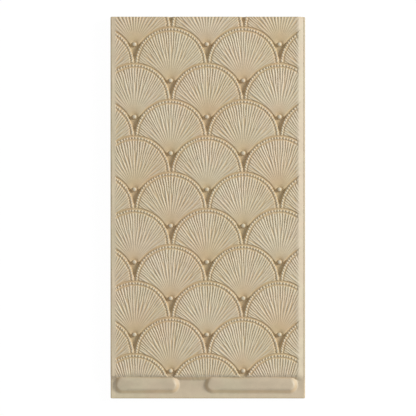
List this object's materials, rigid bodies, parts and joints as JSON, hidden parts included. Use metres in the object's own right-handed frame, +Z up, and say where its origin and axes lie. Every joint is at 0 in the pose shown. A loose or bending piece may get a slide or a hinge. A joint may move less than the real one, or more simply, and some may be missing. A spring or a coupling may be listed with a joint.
{
  "type": "clay texture tile",
  "caption": "Thin flexible rubber tile with a raised field of ribbed, bead-edged fans that is pressed into clay to print its pattern.",
  "frame": {"origin": "middle of the flat underside, on the surface that the tile lies on", "axes": "+Y along the tile's length, away from the two plain pads; +X to the right as the face is looked at; +Z up, out of the patterned face"},
  "size_m": [0.051, 0.1, 0.0032],
  "materials": {
    "tile_rubber": "matt tan"
  },
  "bodies": {
    "root": {"base_sheet": "tile_rubber", "fan_row01_1": "tile_rubber", "fan_row01_2": "tile_rubber", "fan_row01_3": "tile_rubber", "fan_row02_1": "tile_rubber", "fan_row02_2": "tile_rubber", "fan_row02_3": "tile_rubber", "fan_row02_4": "tile_rubber", "fan_row03_1": "tile_rubber", "fan_row03_2": "tile_rubber", "fan_row03_3": "tile_rubber", "fan_row04_1": "tile_rubber", "fan_row04_2": "tile_rubber", "fan_row04_3": "tile_rubber", "fan_row04_4": "tile_rubber", "fan_row05_1": "tile_rubber", "fan_row05_2": "tile_rubber", "fan_row05_3": "tile_rubber", "fan_row06_1": "tile_rubber", "fan_row06_2": "tile_rubber", "fan_row06_3": "tile_rubber", "fan_row06_4": "tile_rubber", "fan_row07_1": "tile_rubber", "fan_row07_2": "tile_rubber", "fan_row07_3": "tile_rubber", "fan_row08_1": "tile_rubber", "fan_row08_2": "tile_rubber", "fan_row08_3": "tile_rubber", "fan_row08_4": "tile_rubber", "fan_row09_1": "tile_rubber", "fan_row09_2": "tile_rubber", "fan_row09_3": "tile_rubber", "fan_row10_1": "tile_rubber", "fan_row10_2": "tile_rubber", "fan_row10_3": "tile_rubber", "fan_row10_4": "tile_rubber", "fan_row11_1": "tile_rubber", "fan_row11_2": "tile_rubber", "fan_row11_3": "tile_rubber", "label_pad_left": "tile_rubber", "label_pad_right": "tile_rubber"}
  },
  "joints": []
}
